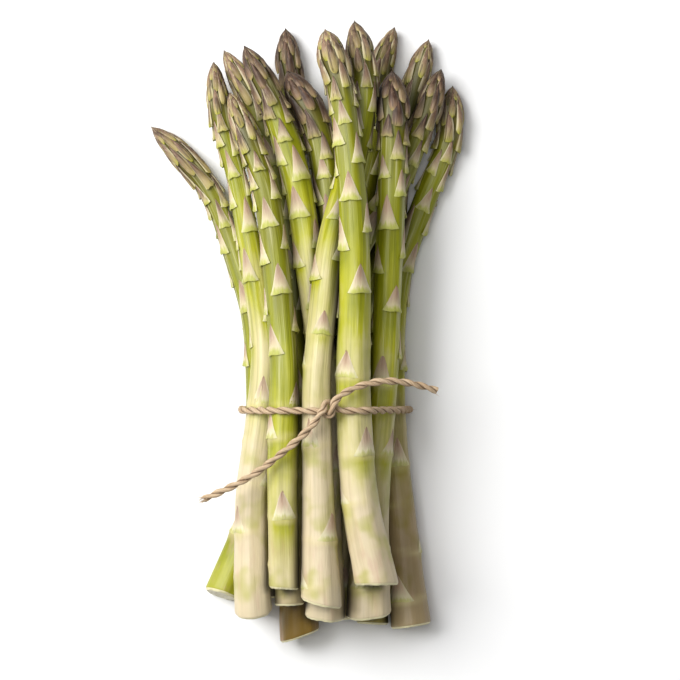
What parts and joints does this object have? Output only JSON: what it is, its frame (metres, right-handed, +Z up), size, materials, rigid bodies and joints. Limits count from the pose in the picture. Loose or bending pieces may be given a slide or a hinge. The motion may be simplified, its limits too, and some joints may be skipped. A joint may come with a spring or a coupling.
{
  "type": "asparagus bundle",
  "caption": "Bundle of fresh green asparagus spears tied round the middle with natural jute twine, lying on its side.",
  "frame": {"origin": "on the surface that the bundle lies on, under the middle of the spears' box", "axes": "+Z up, +Y along the spears from the cut ends to the tips, +X across the bundle"},
  "size_m": [0.1134, 0.2246, 0.0516],
  "materials": {
    "spear": "satin",
    "twine": "matt"
  },
  "bodies": {
    "root": {"spear_01": "spear", "spear_02": "spear", "spear_03": "spear", "spear_04": "spear", "spear_05": "spear", "spear_06": "spear", "spear_07": "spear", "spear_08": "spear", "spear_09": "spear", "spear_10": "spear", "spear_11": "spear", "spear_12": "spear", "spear_13": "spear", "spear_14": "spear", "twine": "twine"}
  },
  "joints": []
}
